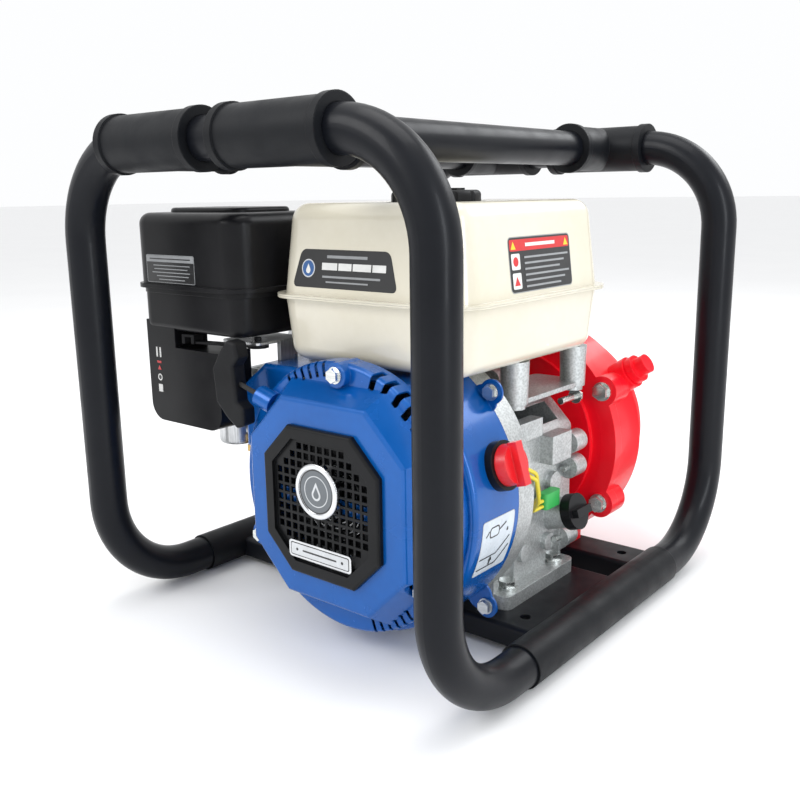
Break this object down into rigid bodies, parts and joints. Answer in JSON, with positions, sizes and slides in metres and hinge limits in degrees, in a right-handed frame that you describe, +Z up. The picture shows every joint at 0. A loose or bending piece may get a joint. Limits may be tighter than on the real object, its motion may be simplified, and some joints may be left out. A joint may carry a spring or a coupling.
{
  "type": "portable fire pump",
  "caption": "Portable petrol-driven water pump in a bent-tube carrying frame: recoil-start engine, fuel tank and air cleaner, driving a centrifugal pump with suction and discharge ports.",
  "frame": {"origin": "on the ground, under the centre of the carrying frame", "axes": "+Z up, +Y towards the pump suction side, +X to the side of the engine switch; the crankshaft lies along Y"},
  "size_m": [0.4032, 0.4902, 0.4256],
  "materials": {
    "badge_metal": "polished",
    "black_plastic": "moulded",
    "black_sheet": "satin black",
    "black_tube": "satin black",
    "blue_paint": "gloss blue",
    "brass": "turned",
    "cast_aluminium": "as cast",
    "cast_iron": "machined",
    "cream_paint": "gloss cream",
    "foam": "open foam",
    "machined_steel": "machined",
    "red_paint": "gloss red",
    "red_plastic": "moulded",
    "rope": "braided",
    "rubber": "soft",
    "wire_sheath": "soft sheath",
    "zinc": "zinc plated"
  },
  "bodies": {
    "frame_and_engine": {"air_cleaner_base": "black_plastic", "air_filter": "foam", "badges": "badge_metal", "bowl_drain": "brass", "carburettor": "cast_aluminium", "connecting_rod": "machined_steel", "control_plate": "machined_steel", "crankcase": "cast_aluminium", "cylinder_head": "cast_aluminium", "cylinder_liner": "cast_iron", "discharge_flange": "cast_aluminium", "fan_cover": "blue_paint", "float_bowl": "machined_steel", "front_cross_plate": "black_sheet", "front_hoop": "black_tube", "grille": "black_plastic", "ground_tubes": "black_tube", "ignition_coil": "cast_iron", "m6_bolts": "zinc", "m8_bolts": "zinc", "main_bearings": "machined_steel", "mechanical_seal": "rubber", "muffler": "machined_steel", "piston": "cast_aluminium", "piston_pin": "machined_steel", "plug_cap": "rubber", "pump_casing": "red_paint", "pump_cover": "red_paint", "rear_cross_plate": "black_sheet", "rear_hoop": "black_tube", "recoil_cover": "blue_paint", "rewind_spring": "machined_steel", "rocker_cover": "machined_steel", "side_cover": "cast_aluminium", "spark_plug": "machined_steel", "starter_rope": "rope", "suction_flange": "cast_aluminium", "switch_base": "black_plastic", "switch_wiring": "wire_sheath", "tank_lower_shell": "cream_paint", "tank_stays": "cast_aluminium", "tank_upper_shell": "cream_paint", "tee_fittings": "black_tube", "top_rails": "black_tube"},
    "crank_assembly": {"crankshaft": "machined_steel", "flywheel": "cast_iron", "starter_cup": "machined_steel", "impeller": "brass"},
    "camshaft": {"camshaft": "machined_steel"},
    "recoil_handle": {"recoil_handle": "black_plastic"},
    "recoil_reel": {"recoil_reel": "black_plastic"},
    "switch_knob": {"switch_knob": "red_plastic"},
    "throttle_lever": {"throttle_lever": "zinc"},
    "choke_lever": {"choke_lever": "zinc"},
    "fuel_valve_lever": {"fuel_valve_lever": "black_plastic"},
    "fuel_cap": {"fuel_cap": "black_plastic"},
    "oil_plug": {"oil_plug": "black_plastic"},
    "priming_plug": {"priming_plug": "red_paint"},
    "air_cleaner_cover": {"air_cleaner_cover": "black_plastic"},
    "check_valve": {"check_valve": "rubber"}
  },
  "joints": [
    {"name": "crank_spin", "type": "hinge", "parent": "frame_and_engine", "child": "crank_assembly", "pos_m": [0.042, 0, 0.13], "axis": [0, 1, 0], "continuous": true, "deforming": ["connecting_rod"]},
    {"name": "cam_spin", "type": "hinge", "parent": "frame_and_engine", "child": "camshaft", "pos_m": [0.042, 0, 0.0758], "axis": [0, 1, 0], "continuous": true},
    {"name": "handle_pull", "type": "slide", "parent": "frame_and_engine", "child": "recoil_handle", "axis": [-0.3505, -0.8512, 0.3906], "range_m": [0, 0.6], "stiffness_N_per_m": 8, "springref_m": -0.5, "deforming": ["starter_rope"]},
    {"name": "reel_spin", "type": "hinge", "parent": "frame_and_engine", "child": "recoil_reel", "pos_m": [0.042, -0.158, 0.13], "axis": [0, 1, 0], "range_deg": [-1, 860], "deforming": ["rewind_spring"]},
    {"name": "switch_turn", "type": "hinge", "parent": "frame_and_engine", "child": "switch_knob", "pos_m": [0.16652, -0.103, 0.16736], "axis": [0.9578, 0, 0.2874], "range_deg": [0, 90]},
    {"name": "throttle_swing", "type": "hinge", "parent": "frame_and_engine", "child": "throttle_lever", "pos_m": [-0.068, -0.14, 0.2368], "axis": [0, 0, 1], "range_deg": [-24, 4]},
    {"name": "choke_swing", "type": "hinge", "parent": "frame_and_engine", "child": "choke_lever", "pos_m": [-0.119, -0.117, 0.189], "axis": [1, 0, 0], "range_deg": [-60, 0]},
    {"name": "fuel_valve_turn", "type": "hinge", "parent": "frame_and_engine", "child": "fuel_valve_lever", "pos_m": [-0.119, -0.079, 0.158], "axis": [1, 0, 0], "range_deg": [0, 90]},
    {"name": "fuel_cap_turn", "type": "hinge", "parent": "frame_and_engine", "child": "fuel_cap", "pos_m": [0.07, -0.072, 0.35], "axis": [0, 0, 1], "range_deg": [0, 90]},
    {"name": "oil_plug_out", "type": "slide", "parent": "frame_and_engine", "child": "oil_plug", "axis": [0.9578, 0, 0.2873], "range_m": [0, 0.06]},
    {"name": "priming_plug_out", "type": "slide", "parent": "frame_and_engine", "child": "priming_plug", "axis": [0.8387, 0, 0.5446], "range_m": [0, 0.04]},
    {"name": "air_cover_lift", "type": "slide", "parent": "frame_and_engine", "child": "air_cleaner_cover", "axis": [0, 0, 1], "range_m": [0, 0.028]},
    {"name": "check_valve_swing", "type": "hinge", "parent": "frame_and_engine", "child": "check_valve", "pos_m": [0.042, 0.16885, 0.199], "axis": [1, 0, 0], "range_deg": [-12, 0]}
  ],
  "couplings": [
    {"joint": "cam_spin", "follows": "crank_spin", "ratio": -0.5},
    {"joint": "reel_spin", "follows": "handle_pull", "rad_per_m": 24.39}
  ]
}
